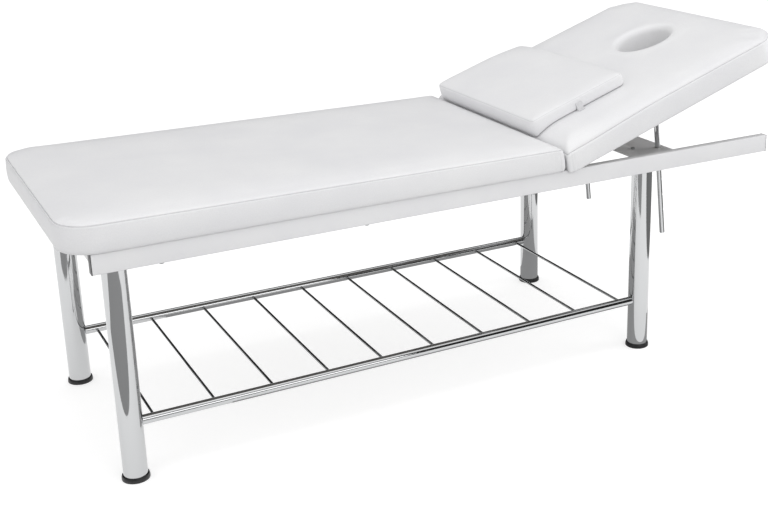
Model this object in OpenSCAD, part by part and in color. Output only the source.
// Treatment couch with a fixed seat section and a back section that tilts, on four straight legs.
// Lengths are in millimetres and angles in degrees.
// X runs from the foot end to the head end, Y from the front to the rear, and Z up.
// The origin is on the floor, under the middle of the couch's outline.
// The back section's pieces are drawn lying flat, from its hinge axis, and are then tilted.

/* [Legs] */
// Distance between the leg axes along the couch
leg_spacing_x = 1364; // [1200:2:1500]
// Distance between the leg axes across the couch
leg_spacing_y = 558; // [500:2:620]
// Outer diameter of a leg
leg_d = 54; // [44:1:62]
// Wall of a leg tube
leg_wall = 1.5; // [1:0.1:3]
// Height of the rails' undersides above the floor
leg_top_z = 505; // [470:5:640]
// Diameter of a rubber shoe where it meets the floor
shoe_d = 62; // [60:1:76]
// Height of a rubber shoe
shoe_h = 11; // [8:1:20]
// Rubber under the end of a leg
shoe_floor = 3; // [2:0.5:6]

/* [Rails] */
// Height of a rail
rail_h = 45; // [38:1:60]
// Width of a rail
rail_w = 22; // [18:1:30]
// Wall of the rails and of the two cross tubes
rail_wall = 1.5; // [1:0.1:3]
// Gap across the couch between a leg and the rail beside it
leg_rail_gap = 6; // [3:0.5:12]
// Reach of the rails past the foot end legs
rail_foot_reach = 55.5; // [45:0.5:90]
// Reach of the rails past the head end legs
rail_head_reach = 373; // [300:1:450]
// Side of the square tube that joins the rails at their foot ends
foot_tube = 25; // [20:1:35]

/* [Rack] */
// Height of the rack's axes above the floor
rack_z = 134; // [90:1:220]
// Outer diameter of a rack tube
rack_tube_d = 22; // [16:1:28]
// Diameter of a rack rod
rack_rod_d = 7; // [5:0.5:10]
// Number of rack rods
rack_rod_count = 10; // [6:1:12]
// Distance from the leg axes to the first and last rack rod
rack_end_space = 54; // [45:1:90]

/* [Cushions] */
// Reach of the cushions past the outer faces of the rails
cushion_overhang = 15; // [10:1:30]
// Reach of the seat cushion past the foot ends of the rails
seat_foot_overhang = 59.5; // [40:0.5:90]
// Distance from the hinge axis to the seat cushion's end
seat_end_gap = 33; // [31:0.5:40]
// Thickness of the base boards
board_h = 15; // [10:1:20]
// Foam around the edges of the base boards
side_pad = 16; // [12:1:20]
// Height of the seat's seam above the rails at the foot end
seat_seam_foot = 63; // [45:1:90]
// Height of the seat's seam above the rails at the hinge
seat_seam_hinge = 53; // [40:1:75]
// Rise of the seat's crown above its seam
seat_crown = 17; // [5:1:30]
// Corner radius of the seat at the foot end
seat_foot_radius = 81; // [40:1:120]
// Distance from the hinge axis to the head end of the back section
back_length = 695; // [640:1:760]
// Height of the back section's seam over its hinge axis, at the hinge
back_seam_hinge = 52; // [45:1:60]
// Height of the back section's seam over its hinge axis, towards the head end
back_seam_head = 74; // [60:1:76]
// Height of the back section's top over its hinge axis
back_top = 80; // [78:1:100]
// Corner radius of the back section at the head end
back_head_radius = 85; // [40:1:120]
// Depth by which the cushion sides draw in at their seams
side_draw = 3; // [1:0.5:6]

/* [Face hole] */
// Distance from the back section's head end to the middle of the face hole
face_hole_setback = 200; // [180:1:225]
// Length of the face hole's inner wall
face_hole_length = 156; // [120:1:170]
// Width of the face hole's inner wall
face_hole_width = 136; // [100:1:150]
// Radius of the padded rim around the face hole
face_rim = 18; // [8:1:22]

/* [Tilt] */
// Tilt of the back section as it stands
rest_tilt = 18.5; // [10:0.5:25]
// Steepest tilt of the back section
max_tilt = 50; // [40:1:50]
// Distance from the head end legs' axes back to the hinge axis
hinge_setback = 242; // [200:1:280]
// Width of a hinge
hinge_width = 60; // [45:1:90]
// Diameter of a hinge pin
hinge_pin_d = 6; // [4:0.5:7]
// Distance of each hinge from the middle of the couch
hinge_y = 200; // [150:5:240]

/* [Support] */
// Diameter of the support rods and of the bar that joins them
support_d = 14; // [10:0.5:16]
// Distance of each support rod from the middle of the couch
support_y = 180; // [165:1:210]
// Distance from the hinge axis to the support's pivot, along the back section
pivot_u = 367; // [350:1:380]
// Depth of the support's pivot under the hinge axis, with the back section flat
pivot_drop = 20.5; // [19:0.5:22]
// Length of the support from its pivot to the cut ends of its rods
support_length = 380; // [350:1:382]
// Distance between two notches of a support rod
notch_pitch = 45; // [30:1:50]
// Number of notches in a support rod
notch_count = 7; // [4:1:7]
// Depth of a notch
notch_depth = 3.5; // [2:0.5:5]
// Thickness of the head cross plate
plate_h = 4; // [3:0.5:6]
// Length of the head cross plate along the couch
plate_length = 138.5; // [120:0.5:160]

/* [Pillow] */
// Length of the pillow along the back section
pillow_length = 263; // [220:1:320]
// Width of the pillow across the couch
pillow_width = 520; // [400:1:560]
// Thickness of the pillow
pillow_h = 37; // [25:1:60]
// Distance of the pillow's middle from the middle of the couch
pillow_y = 50; // [0:1:80]
// Corner radius of the pillow
pillow_radius = 24; // [10:1:60]

/* [Hidden] */
// Number of flat steps that a drawn circle has
$fn = 64;
// Overrun of every cut past the face that it leaves by
over = 1;
// Radial clearance of a screw or bolt in its hole
hole_gap = 0.1;
// Radial running clearance of a pin or bar in its bore
running_gap = 0.05;
// Clearance between a padded piece and what it lies on or passes
soft_gap = 0.3;
// Clearance between the two cushion ends at the steepest tilt
end_gap = 1;

// Leg places
leg_x = leg_spacing_x / 2;
leg_y = leg_spacing_y / 2;
leg_r = leg_d / 2;
leg_h = leg_top_z - shoe_floor;

// Corner plates, bolts and inserts at the leg tops
corner_plate_h = 4;
corner_plate_reach = 13;
corner_plate_length = leg_d + 2 * corner_plate_reach;
corner_plate_margin = 7;
insert_h = 14;
bolt_r = 4;
bolt_length = 20;
bolt_head_r = 7.5;
bolt_head_h = 5.3;

// Rubber shoes
shoe_top_share = 0.95;
shoe_plug_reach = 17;
shoe_plug_h = shoe_floor + shoe_plug_reach;

// Rails
rail_inner_y = leg_y + leg_r + leg_rail_gap;
rail_y = rail_inner_y + rail_w / 2;
rail_outer_y = rail_inner_y + rail_w;
rail_top_z = leg_top_z + rail_h;
plug_cap = 2;
plug_depth = 12;
rail_foot_x = -leg_x - rail_foot_reach;
rail_head_x = leg_x + rail_head_reach;

// Rack
rack_wall = 1.2;
rack_tube_r = rack_tube_d / 2;
rack_rod_first_x = rack_end_space - leg_x;
rack_rod_pitch = (leg_spacing_x - 2 * rack_end_space) / (rack_rod_count - 1);

// Hinge axis, and what lies along it
hinge_x = leg_x - hinge_setback;
leaf_h = 2.5;
leaf_sink = 0.5;
knuckle_wall = 3;
knuckle_r = hinge_pin_d / 2 + knuckle_wall;
knuckle_gap = 0.5;
leaf_gap = 1;
leaf_reach = 53;
back_lift = 0.5;
hinge_z = rail_top_z + back_lift - leaf_h;
back_base = leaf_h;
hinge_tube = 30;
hinge_tube_gap = 12;
hinge_tube_top_z = rail_top_z - leaf_sink - leaf_h;
hinge_tube_head_x = hinge_x - hinge_tube_gap;

// Screws into the base boards
board_screw_r = 2.5;
board_screw_head_r = 5;
board_screw_head_h = 3.5;
board_screw_bite = 11;
board_screw_shares = [0.17, 0.56, 0.93];
leaf_screw_r = 2;
leaf_screw_head_r = 4;
leaf_screw_head_h = 2.2;
leaf_screw_bite = 11;
leaf_screw_shares = [0.3, 0.78];
leaf_screw_y_share = 0.33;

// Plan of the cushions
cushion_half = rail_outer_y + cushion_overhang;
seat_foot_x = rail_foot_x - seat_foot_overhang;
seat_end_x = hinge_x - seat_end_gap;
seat_length = seat_end_x - seat_foot_x;
seat_end_radius = 12;
back_end_radius = 12;
board_end_pad = 7;
least_radius_share = 0.4;
seat_crown_reach = 150;
back_crown_reach = 80;
taper_length_share = 0.62;

// Height up a cushion's side and how far it is drawn in there
side_shares = [[0, 1], [0.14, 0.3], [0.5, 0], [0.86, 0.35], [1, 1]];
// Distance in from the seam and how far the crown has risen there
crown_shares = [[0.04, 0.42], [0.12, 0.7], [0.3, 0.87], [0.6, 0.97], [1, 1]];
// Rim of the face hole: how far out from its wall, and how far below the top
rim_shares = [[1, 0], [0.55, 0.1], [0.2, 0.4], [0, 1]];
corner_steps = 5;
long_steps = 6;
hinge_steps = 4;
head_steps = 8;
// How far the face hole's points are spread evenly and not turned towards the crown's points
oval_even_share = 0.6;

// Lean of the seat's end and of the back section's end, so that the two never meet
end_lean = rest_tilt / 2;
nose_clear = knuckle_r + leaf_gap;
nose_base = nose_clear / cos(max_tilt);
lean_turn = cos(max_tilt) + tan(end_lean) * sin(max_tilt);
lean_back = (seat_end_gap - end_gap + tan(end_lean) * (hinge_z - rail_top_z)) / lean_turn;

// Base board of the back section
back_board_start = nose_base / tan(max_tilt) + board_end_pad - back_base / tan(max_tilt);
back_board_top = back_base + board_h;

// Support, its pivot and the plate that guides it
support_r = support_d / 2;
support_half = support_y + support_r;
guide_setout = 368;
guide_x = hinge_x + guide_setout;
plate_gap = 2;
plate_bottom_z = leg_top_z + corner_plate_h + plate_gap;
plate_top_z = plate_bottom_z + plate_h;
plate_head_reach = 24.5;
slot_foot_play = 2.5;
slot_head_play = 4;
slot_side_play = 0.5;
bush_wall = 1.5;
bush_flange = 4;
bush_margin = 5;
pivot_x = hinge_x + pivot_u * cos(rest_tilt) + pivot_drop * sin(rest_tilt);
pivot_z = hinge_z + pivot_u * sin(rest_tilt) - pivot_drop * cos(rest_tilt);
guide_z = (plate_top_z + plate_bottom_z) / 2;
rest_lean = atan2(guide_x - pivot_x, pivot_z - guide_z);
guide_drop = norm([guide_x - pivot_x, pivot_z - guide_z]);
notch_gap = 3;
notch_h = plate_h + notch_gap;
first_notch = guide_drop - 2 * notch_pitch;

// Screws and nuts that hold the guide bushes
guide_screw_setback = 67;
guide_screw_inset = 22;
guide_screw_r = 3;
guide_screw_head_r = 5.25;
guide_screw_head_h = 4.5;
hex_key_r = 2.9;
hex_key_depth = 2.5;
guide_nut_r = 5.8;
guide_nut_h = 5;

// Brackets that carry the support's bar
bracket_y = 150;
bracket_width = 10;
bracket_base_h = 3;
bracket_base_length = 60;
bracket_base_width = 24;
bracket_lug_wall = 4;
bracket_lug_r = support_r + bracket_lug_wall;

// Pillow
pillow_start = 15;
pillow_base = back_top + soft_gap;
pillow_crown_share = 0.3;
pillow_crown_reach = 70;
tab_u = 125;
tab_width = 19;
tab_h = 1.5;
tab_reach = 9;
tab_rise = 20;

// Middle of the couch's outline, from its foot end to the head end of the tilted back section
function side_height(share) = back_base + share * (back_seam_head - back_base);
back_ends = [
    for (s = side_shares)
        hinge_x + (back_length - s[1] * side_draw) * cos(rest_tilt) - side_height(s[0]) * sin(rest_tilt)
];
middle_x = (seat_foot_x + max(max(back_ends), rail_head_x)) / 2;

rack_rod_names = [for (i = [1:rack_rod_count]) str("rack_rod_", i)];

// Colours
white_coat = "#e4e4e6";
white_vinyl = "#e6e6e8";
white_plastic = "#dededc";
chrome = "#b4b7bb";
zinc = "#9c9ea0";
black_rubber = "#1c1c1e";
grey_plastic = "#606060";
plywood = "#6b6863";
grey_velcro = "#c8c8ca";

// Frames of the moving parts

module in_frame() {
    translate([-middle_x, 0, 0]) children();
}

module on_back() {
    in_frame() translate([hinge_x, 0, hinge_z]) rotate([0, -rest_tilt, 0]) children();
}

module on_support() {
    on_back() translate([pivot_u, 0, -pivot_drop]) rotate([0, rest_tilt - rest_lean, 0]) children();
}

module at_legs() {
    for (x = [-leg_x, leg_x], y = [-leg_y, leg_y]) translate([x, y, 0]) children();
}

// Shapes that repeat

module bar_y(r, length) {
    rotate([90, 0, 0]) cylinder(r = r, h = length, center = true);
}

module square_tube_y(side, length) {
    difference() {
        translate([0, -length / 2, -side]) cube([side, length, side]);
        translate([rail_wall, -length / 2 - over, rail_wall - side])
            cube([side - 2 * rail_wall, length + 2 * over, side - 2 * rail_wall]);
    }
}

module slot(r, foot, head, h) {
    translate([foot + r, 0, 0]) cylinder(r = r, h = h);
    translate([head - r, 0, 0]) cylinder(r = r, h = h);
    translate([foot + r, -r, 0]) cube([head - foot - 2 * r, 2 * r, h]);
}

// Cushion outlines: points run anticlockwise seen from above

function corner_arc(x, y, r, from) = [
    for (i = [0:corner_steps])
        let (a = from + 90 * i / corner_steps)
        [x + r * cos(a), y + r * sin(a)]
];

function between(a, b, steps) = [for (i = [1:steps - 1]) a + (b - a) * i / steps];

function rounded_outline(x0, x1, half, r0, r1) =
    let (
        rear_head = corner_arc(x1 - r1, half - r1, r1, 0),
        rear_foot = corner_arc(x0 + r0, half - r0, r0, 90),
        front_foot = corner_arc(x0 + r0, r0 - half, r0, 180),
        front_head = corner_arc(x1 - r1, r1 - half, r1, 270)
    )
    concat(
        rear_head, between(rear_head[corner_steps], rear_foot[0], long_steps),
        rear_foot, between(rear_foot[corner_steps], front_foot[0], hinge_steps),
        front_foot, between(front_foot[corner_steps], front_head[0], long_steps),
        front_head, between(front_head[corner_steps], rear_head[0], head_steps)
    );

function inner_radius(r, inset) = max(r - inset, r * least_radius_share);

// Triangles between each ring and the next
function band_faces(first, next, count) = [
    for (i = [0:count - 1])
        let (j = (i + 1) % count)
        each [[first + i, next + i, next + j], [first + i, next + j, first + j]]
];

// A skin over rings of points, closed at both ends
module capped_skin(rings) {
    count = len(rings[0]);
    last = count * (len(rings) - 1);
    points = [for (ring = rings) each ring];
    bottom = middle_of(rings[0]);
    top = middle_of(rings[len(rings) - 1]);
    all_points = concat(points, [bottom, top]);
    polyhedron(
        points = all_points,
        faces = concat(
            [for (k = [0:len(rings) - 2]) each band_faces(k * count, (k + 1) * count, count)],
            [for (i = [0:count - 1]) [i, (i + 1) % count, len(points)]],
            [for (i = [0:count - 1]) [last + (i + 1) % count, last + i, len(points) + 1]]
        )
    );
}

// A skin over rings of points whose last ring joins the first
module looped_skin(rings) {
    count = len(rings[0]);
    total = len(rings);
    polyhedron(
        points = [for (ring = rings) each ring],
        faces = [for (k = [0:total - 1]) each band_faces(k * count, ((k + 1) % total) * count, count)]
    );
}

function middle_of(ring) = (ring[0] + ring[floor(len(ring) / 2)]) / 2;

// Seat cushion

function seat_seam(x) = seat_seam_foot + (seat_seam_hinge - seat_seam_foot) * (x - seat_foot_x) / seat_length;

function seat_ring(inset, side, rise) =
    let (
        end_height = side * seat_seam_hinge + rise * seat_crown,
        flat = rounded_outline(
            seat_foot_x + inset,
            seat_end_x - inset - tan(end_lean) * end_height,
            cushion_half - inset,
            inner_radius(seat_foot_radius, inset),
            inner_radius(seat_end_radius, inset)
        )
    )
    [for (p = flat) [p.x, p.y, rail_top_z + side * seat_seam(p.x) + rise * seat_crown]];

seat_board_outline = rounded_outline(
    seat_foot_x + side_pad,
    seat_end_x - board_end_pad,
    cushion_half - side_pad,
    inner_radius(seat_foot_radius, side_pad),
    inner_radius(seat_end_radius, side_pad)
);

// Back cushion: u runs from the hinge axis to the head end

function taper(u) =
    let (share = min(max(u / (taper_length_share * back_length), 0), 1))
    (1 - cos(180 * share)) / 2;

function back_seam(u) = back_seam_hinge + (back_seam_head - back_seam_hinge) * taper(u);

// Place of the back cushion's end at a height over the hinge axis, clear of the hinge and of the seat
function back_end(v) =
    max(
        (nose_base - v) / tan(max_tilt),
        tan(max_tilt - end_lean) * v - lean_back
    );

function back_height(u, side, rise) =
    back_base + side * (back_seam(u) - back_base) + rise * (back_top - back_seam(u));

function back_ring(inset, side, rise) =
    let (
        flat = rounded_outline(
            back_end(back_height(0, side, rise)) + inset,
            back_length - inset,
            cushion_half - inset,
            inner_radius(back_end_radius, inset),
            inner_radius(back_head_radius, inset)
        )
    )
    [for (p = flat) [p.x, p.y, back_height(p.x, side, rise)]];

back_board_outline = rounded_outline(
    back_board_start,
    back_length - side_pad,
    cushion_half - side_pad,
    inner_radius(back_end_radius, side_pad),
    inner_radius(back_head_radius, side_pad)
);

face_hole_u = back_length - face_hole_setback;

// Points on the face hole's oval, one for each point of the crown's inner ring
function face_oval(out) =
    let (
        ring = back_ring(side_draw + back_crown_reach, 1, 1),
        first = atan2(ring[0].y, ring[0].x - face_hole_u)
    )
    [
        for (i = [0:len(ring) - 1])
            let (
                towards = (atan2(ring[i].y, ring[i].x - face_hole_u) - first + 720) % 360,
                even = 360 * i / len(ring),
                a = first + towards + oval_even_share * (even - towards)
            )
            [face_hole_u + (face_hole_length / 2 + out) * cos(a), (face_hole_width / 2 + out) * sin(a)]
    ];

function at_height(flat, v) = [for (p = flat) [p.x, p.y, v]];

// Pillow

function pillow_ring(inset, side, rise) =
    let (
        flat = rounded_outline(
            pillow_start + inset,
            pillow_start + pillow_length - inset,
            pillow_width / 2 - inset,
            inner_radius(pillow_radius, inset),
            inner_radius(pillow_radius, inset)
        ),
        crown = pillow_crown_share * pillow_h
    )
    [for (p = flat) [p.x, p.y + pillow_y, pillow_base + side * (pillow_h - crown) + rise * crown]];

// Frame

module rail(side) {
    in_frame() color(white_coat) difference() {
        translate([rail_foot_x + plug_cap, side * rail_y - rail_w / 2, leg_top_z])
            cube([rail_head_x - rail_foot_x - 2 * plug_cap, rail_w, rail_h]);
        translate([rail_foot_x - over, side * rail_y - rail_w / 2 + rail_wall, leg_top_z + rail_wall])
            cube([rail_head_x - rail_foot_x + 2 * over, rail_w - 2 * rail_wall, rail_h - 2 * rail_wall]);
        for (share = board_screw_shares)
            translate([seat_foot_x + share * seat_length, side * rail_y, leg_top_z - over])
                cylinder(r = board_screw_r + hole_gap, h = rail_h + 2 * over);
    }
}

module rail_end_plugs() {
    bore_w = rail_w - 2 * rail_wall - 2 * hole_gap;
    bore_h = rail_h - 2 * rail_wall - 2 * hole_gap;
    in_frame() color(grey_plastic)
        for (side = [-1, 1], x = [rail_foot_x + plug_cap / 2, rail_head_x - plug_cap / 2])
            translate([x, side * rail_y, leg_top_z + rail_h / 2]) {
                cube([plug_cap, rail_w, rail_h], center = true);
                translate([sign(rail_foot_x + rail_foot_reach - x) * plug_depth / 2, 0, 0])
                    cube([plug_depth, bore_w, bore_h], center = true);
            }
}

module foot_cross_tube() {
    in_frame() color(white_coat)
        translate([rail_foot_x + plug_cap, 0, rail_top_z]) square_tube_y(foot_tube, 2 * rail_inner_y);
}

module hinge_cross_tube() {
    in_frame() color(white_coat)
        translate([hinge_tube_head_x - hinge_tube, 0, hinge_tube_top_z])
            square_tube_y(hinge_tube, 2 * rail_inner_y);
}

module head_cross_plate() {
    in_frame() color(white_coat) difference() {
        translate([guide_x + plate_head_reach - plate_length, -rail_inner_y, plate_bottom_z])
            cube([plate_length, 2 * rail_inner_y, plate_h]);
        for (side = [-1, 1]) {
            translate([guide_x, side * support_y, plate_bottom_z - over])
                slot(
                    support_r + slot_side_play + bush_wall + hole_gap,
                    -support_r - slot_foot_play - bush_wall - hole_gap,
                    support_r + slot_head_play + bush_wall + hole_gap,
                    plate_h + 2 * over
                );
            translate([guide_x - guide_screw_setback, side * (support_y - guide_screw_inset), plate_bottom_z - over])
                cylinder(r = guide_screw_r + hole_gap, h = plate_h + 2 * over);
        }
    }
}

module guide_bush(side) {
    foot = -support_r - slot_foot_play;
    head = support_r + slot_head_play;
    inner_r = support_r + slot_side_play;
    flange_foot = -guide_screw_setback - guide_nut_r - bush_margin;
    flange_low = support_y - guide_screw_inset - guide_nut_r - bush_margin;
    flange_high = support_y + inner_r + bush_margin;
    in_frame() color(white_plastic) difference() {
        union() {
            translate([guide_x, side * support_y, plate_bottom_z])
                slot(inner_r + bush_wall, foot - bush_wall, head + bush_wall, plate_h);
            translate([
                guide_x + flange_foot,
                side > 0 ? flange_low : -flange_high,
                plate_bottom_z - bush_flange
            ])
                cube([head + bush_margin - flange_foot, flange_high - flange_low, bush_flange]);
        }
        translate([guide_x, side * support_y, plate_bottom_z - bush_flange - over])
            slot(inner_r, foot, head, bush_flange + plate_h + 2 * over);
        translate([
            guide_x - guide_screw_setback,
            side * (support_y - guide_screw_inset),
            plate_bottom_z - bush_flange - over
        ])
            cylinder(r = guide_screw_r + hole_gap, h = bush_flange + 2 * over);
    }
}

module at_guide_screws() {
    in_frame() for (side = [-1, 1])
        translate([guide_x - guide_screw_setback, side * (support_y - guide_screw_inset), 0]) children();
}

module guide_screws() {
    shank = plate_h + bush_flange + guide_nut_h;
    at_guide_screws() color(zinc) difference() {
        union() {
            translate([0, 0, plate_top_z]) cylinder(r = guide_screw_head_r, h = guide_screw_head_h);
            translate([0, 0, plate_top_z - shank]) cylinder(r = guide_screw_r, h = shank);
        }
        translate([0, 0, plate_top_z + guide_screw_head_h - hex_key_depth])
            cylinder(r = hex_key_r, h = hex_key_depth + over, $fn = 6);
    }
}

module guide_nuts() {
    at_guide_screws() color(zinc)
        translate([0, 0, plate_bottom_z - bush_flange - guide_nut_h]) difference() {
            cylinder(r = guide_nut_r, h = guide_nut_h, $fn = 6);
            translate([0, 0, -over]) cylinder(r = guide_screw_r + running_gap, h = guide_nut_h + 2 * over);
        }
}

module leg_top_plates() {
    depth = leg_d + leg_rail_gap + corner_plate_margin;
    in_frame() color(white_coat)
        for (x = [-leg_x, leg_x], side = [-1, 1])
            difference() {
                translate([
                    x - corner_plate_length / 2,
                    side > 0 ? rail_inner_y - depth : -rail_inner_y,
                    leg_top_z
                ])
                    cube([corner_plate_length, depth, corner_plate_h]);
                translate([x, side * leg_y, leg_top_z - over])
                    cylinder(r = bolt_r + hole_gap, h = corner_plate_h + 2 * over);
            }
}

module leg_bolts() {
    in_frame() color(zinc) at_legs() {
        translate([0, 0, leg_top_z + corner_plate_h]) cylinder(r = bolt_head_r, h = bolt_head_h, $fn = 6);
        translate([0, 0, leg_top_z + corner_plate_h - bolt_length]) cylinder(r = bolt_r, h = bolt_length);
    }
}

module leg_top_inserts() {
    in_frame() color(zinc) at_legs()
        translate([0, 0, leg_top_z - insert_h]) difference() {
            cylinder(r = leg_r - leg_wall - running_gap, h = insert_h);
            translate([0, 0, -over]) cylinder(r = bolt_r + running_gap, h = insert_h + 2 * over);
        }
}

module leg(x, side) {
    in_frame() color(chrome)
        translate([x, side * leg_y, shoe_floor]) difference() {
            cylinder(r = leg_r, h = leg_h);
            translate([0, 0, -over]) cylinder(r = leg_r - leg_wall, h = leg_h + 2 * over);
        }
}

module shoe(x, side) {
    groove_in = leg_r - leg_wall - hole_gap;
    groove_out = leg_r + hole_gap;
    in_frame() color(black_rubber)
        translate([x, side * leg_y, 0]) rotate_extrude() polygon([
            [0, 0],
            [shoe_d / 2, 0],
            [shoe_d / 2, shoe_h / 2],
            [shoe_top_share * shoe_d / 2, shoe_h],
            [groove_out, shoe_h],
            [groove_out, shoe_floor],
            [groove_in, shoe_floor],
            [groove_in, shoe_plug_h],
            [0, shoe_plug_h]
        ]);
}

// Rack

module rack_tube(side) {
    in_frame() color(chrome)
        translate([0, side * leg_y, 0]) difference() {
            translate([0, 0, rack_z]) rotate([0, 90, 0])
                cylinder(r = rack_tube_r, h = leg_spacing_x, center = true);
            translate([0, 0, rack_z]) rotate([0, 90, 0])
                cylinder(r = rack_tube_r - rack_wall, h = leg_spacing_x + 2 * over, center = true);
            for (x = [-leg_x, leg_x])
                translate([x, 0, 0]) cylinder(r = leg_r, h = leg_top_z);
        }
}

module rack_rod(i) {
    in_frame() color(chrome)
        translate([rack_rod_first_x + (i - 1) * rack_rod_pitch, 0, rack_z]) difference() {
            bar_y(rack_rod_d / 2, leg_spacing_y);
            for (side = [-1, 1])
                translate([0, side * leg_y, 0]) rotate([0, 90, 0])
                    cylinder(r = rack_tube_r, h = rack_tube_d, center = true);
        }
}

// Seat section

module seat_board() {
    in_frame() color(plywood) translate([0, 0, rail_top_z]) difference() {
        linear_extrude(board_h) polygon(seat_board_outline);
        for (side = [-1, 1], share = board_screw_shares)
            translate([seat_foot_x + share * seat_length, side * rail_y, -over])
                cylinder(r = board_screw_r + hole_gap, h = board_screw_bite + over);
    }
}

module seat_cushion() {
    in_frame() color(white_vinyl) capped_skin(concat(
        [at_height(seat_board_outline, rail_top_z + board_h), at_height(seat_board_outline, rail_top_z)],
        [for (s = side_shares) seat_ring(s[1] * side_draw, s[0], 0)],
        [for (c = crown_shares) seat_ring(side_draw + c[0] * seat_crown_reach, 1, c[1])]
    ));
}

module seat_board_screws() {
    in_frame() color(zinc)
        for (side = [-1, 1], share = board_screw_shares)
            translate([seat_foot_x + share * seat_length, side * rail_y, leg_top_z]) {
                translate([0, 0, -board_screw_head_h]) cylinder(r = board_screw_head_r, h = board_screw_head_h);
                cylinder(r = board_screw_r, h = rail_h + board_screw_bite - hole_gap);
            }
}

// Hinges

module hinge_fixed_leaf(side) {
    knuckle_width = hinge_width / 3;
    plate_end = -knuckle_r - leaf_gap;
    plate_bottom = hinge_tube_top_z - hinge_z;
    in_frame() color(zinc) translate([hinge_x, side * hinge_y, hinge_z]) difference() {
        union() {
            translate([-leaf_reach + hinge_tube_gap, -hinge_width / 2, plate_bottom])
                cube([leaf_reach - hinge_tube_gap + plate_end, hinge_width, leaf_h]);
            for (y = [-hinge_width / 2, hinge_width / 2 - knuckle_width])
                translate([0, y, 0]) {
                    translate([plate_end, 0, plate_bottom]) cube([-plate_end, knuckle_width, leaf_h]);
                    translate([0, knuckle_width / 2, 0]) bar_y(knuckle_r, knuckle_width);
                }
        }
        bar_y(hinge_pin_d / 2 + running_gap, hinge_width + 2 * over);
    }
}

module hinge_pin(side) {
    in_frame() color(zinc) translate([hinge_x, side * hinge_y, hinge_z])
        bar_y(hinge_pin_d / 2, hinge_width + leaf_h);
}

module hinge_moving_leaf(side) {
    knuckle_width = hinge_width / 3 - 2 * knuckle_gap;
    plate_start = knuckle_r + leaf_gap;
    on_back() color(zinc) translate([0, side * hinge_y, 0]) difference() {
        union() {
            translate([plate_start, -hinge_width / 2, back_base - leaf_h])
                cube([leaf_reach - plate_start, hinge_width, leaf_h]);
            translate([0, -knuckle_width / 2, back_base - leaf_h]) cube([plate_start, knuckle_width, leaf_h]);
            bar_y(knuckle_r, knuckle_width);
        }
        bar_y(hinge_pin_d / 2 + running_gap, hinge_width + 2 * over);
        for (share = leaf_screw_shares, y_side = [-1, 1])
            translate([plate_start + share * (leaf_reach - plate_start), y_side * leaf_screw_y_share * hinge_width, 0])
                translate([0, 0, back_base - leaf_h - over])
                    cylinder(r = leaf_screw_r + hole_gap, h = leaf_h + 2 * over);
    }
}

module at_leaf_screws() {
    plate_start = knuckle_r + leaf_gap;
    for (side = [-1, 1], share = leaf_screw_shares, y_side = [-1, 1])
        translate([
            plate_start + share * (leaf_reach - plate_start),
            side * hinge_y + y_side * leaf_screw_y_share * hinge_width,
            back_base - leaf_h
        ])
            children();
}

module at_bracket_screws() {
    for (side = [-1, 1], end = [-1, 1])
        translate([
            pivot_u + end * (bracket_base_length / 2 - 2 * leaf_screw_head_r),
            side * bracket_y,
            back_base - bracket_base_h
        ])
            children();
}

module small_screw(grip) {
    translate([0, 0, -leaf_screw_head_h]) cylinder(r = leaf_screw_head_r, h = leaf_screw_head_h);
    cylinder(r = leaf_screw_r, h = grip + leaf_screw_bite - hole_gap);
}

module hinge_leaf_screws() {
    on_back() color(zinc) at_leaf_screws() small_screw(leaf_h);
}

// Back section

module back_board() {
    on_back() color(plywood) difference() {
        translate([0, 0, back_base]) linear_extrude(board_h) difference() {
            polygon(back_board_outline);
            polygon(face_oval(0));
        }
        at_leaf_screws() translate([0, 0, leaf_h - over])
            cylinder(r = leaf_screw_r + hole_gap, h = leaf_screw_bite + over);
        at_bracket_screws() translate([0, 0, bracket_base_h - over])
            cylinder(r = leaf_screw_r + hole_gap, h = leaf_screw_bite + over);
    }
}

module back_cushion() {
    on_back() color(white_vinyl) looped_skin(concat(
        [for (s = side_shares) back_ring(s[1] * side_draw, s[0], 0)],
        [for (c = crown_shares) back_ring(side_draw + c[0] * back_crown_reach, 1, c[1])],
        [for (s = rim_shares) at_height(face_oval(s[0] * face_rim), back_top - s[1] * face_rim)],
        [at_height(face_oval(0), back_board_top)],
        [at_height(back_board_outline, back_board_top), at_height(back_board_outline, back_base)]
    ));
}

module support_bracket(side) {
    on_back() color(zinc) translate([pivot_u, side * bracket_y, -pivot_drop]) difference() {
        union() {
            bar_y(bracket_lug_r, bracket_width);
            translate([-bracket_lug_r, -bracket_width / 2, 0])
                cube([2 * bracket_lug_r, bracket_width, pivot_drop + back_base]);
            translate([-bracket_base_length / 2, -bracket_base_width / 2, pivot_drop + back_base - bracket_base_h])
                cube([bracket_base_length, bracket_base_width, bracket_base_h]);
        }
        bar_y(support_r + running_gap, bracket_width + 2 * over);
        for (end = [-1, 1])
            translate([
                end * (bracket_base_length / 2 - 2 * leaf_screw_head_r),
                0,
                pivot_drop + back_base - bracket_base_h - over
            ])
                cylinder(r = leaf_screw_r + hole_gap, h = bracket_base_h + 2 * over);
    }
}

module support_bracket_screws() {
    on_back() color(zinc) at_bracket_screws() small_screw(bracket_base_h);
}

// Support: its rods hang down from the bar

module support_rod(side) {
    on_support() color(chrome) translate([0, side * support_y, 0]) difference() {
        translate([0, 0, -support_length]) cylinder(r = support_r, h = support_length);
        bar_y(support_r, support_d + 2 * over);
        for (i = [0:notch_count - 1])
            translate([support_r - notch_depth, -support_r, -first_notch - i * notch_pitch - notch_h / 2])
                cube([support_d, support_d, notch_h]);
    }
}

module support_cross_bar() {
    on_support() color(chrome) bar_y(support_r, 2 * support_half);
}

// Pillow

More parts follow.
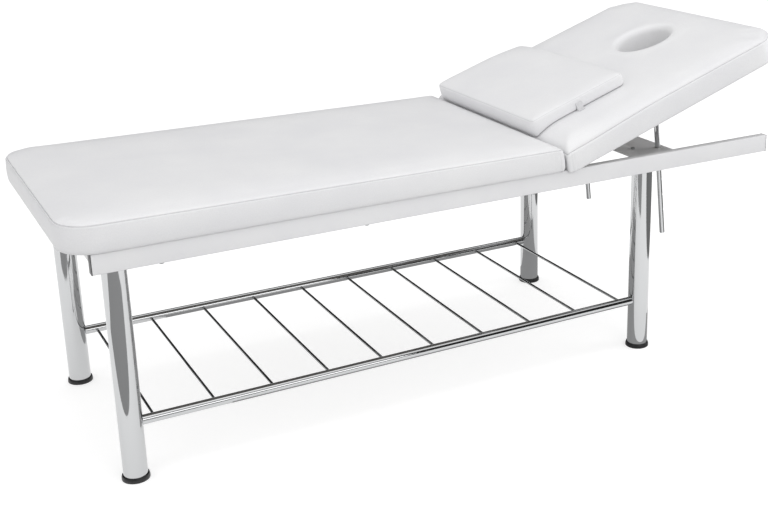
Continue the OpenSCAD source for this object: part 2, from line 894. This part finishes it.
module head_pillow() {
    on_back() color(white_vinyl) capped_skin(concat(
        [for (s = side_shares) pillow_ring(s[1] * side_draw, s[0], 0)],
        [for (c = crown_shares) pillow_ring(side_draw + c[0] * pillow_crown_reach, 1, c[1])]
    ));
}

module pillow_tab() {
    edge_y = pillow_y - pillow_width / 2;
    on_back() color(grey_velcro) {
        translate([tab_u - tab_width / 2, edge_y - tab_reach, pillow_base])
            cube([tab_width, tab_reach - soft_gap, tab_h]);
        translate([tab_u - tab_width / 2, edge_y - soft_gap - tab_h, pillow_base])
            cube([tab_width, tab_h, tab_rise]);
    }
}

rail(-1);  // front_rail
rail(1);  // rear_rail
rail_end_plugs();
foot_cross_tube();
hinge_cross_tube();
head_cross_plate();
guide_bush(-1);  // guide_bush_front
guide_bush(1);  // guide_bush_rear
guide_screws();
guide_nuts();
leg_top_plates();
leg_bolts();
leg_top_inserts();
leg(-leg_x, -1);  // leg_front_foot_end
leg(leg_x, -1);  // leg_front_head_end
leg(-leg_x, 1);  // leg_rear_foot_end
leg(leg_x, 1);  // leg_rear_head_end
shoe(-leg_x, -1);  // shoe_front_foot_end
shoe(leg_x, -1);  // shoe_front_head_end
shoe(-leg_x, 1);  // shoe_rear_foot_end
shoe(leg_x, 1);  // shoe_rear_head_end
rack_tube(-1);  // rack_front_tube
rack_tube(1);  // rack_rear_tube
for (i = [1:rack_rod_count])
    rack_rod(i);
seat_board();
seat_cushion();
seat_board_screws();
hinge_fixed_leaf(-1);  // hinge_fixed_leaf_front
hinge_fixed_leaf(1);  // hinge_fixed_leaf_rear
hinge_pin(-1);  // hinge_pin_front
hinge_pin(1);  // hinge_pin_rear
back_board();
back_cushion();
hinge_moving_leaf(-1);  // hinge_moving_leaf_front
hinge_moving_leaf(1);  // hinge_moving_leaf_rear
hinge_leaf_screws();
support_bracket(-1);  // support_bracket_front
support_bracket(1);  // support_bracket_rear
support_bracket_screws();
support_rod(-1);  // support_rod_front
support_rod(1);  // support_rod_rear
support_cross_bar();
head_pillow();
pillow_tab();
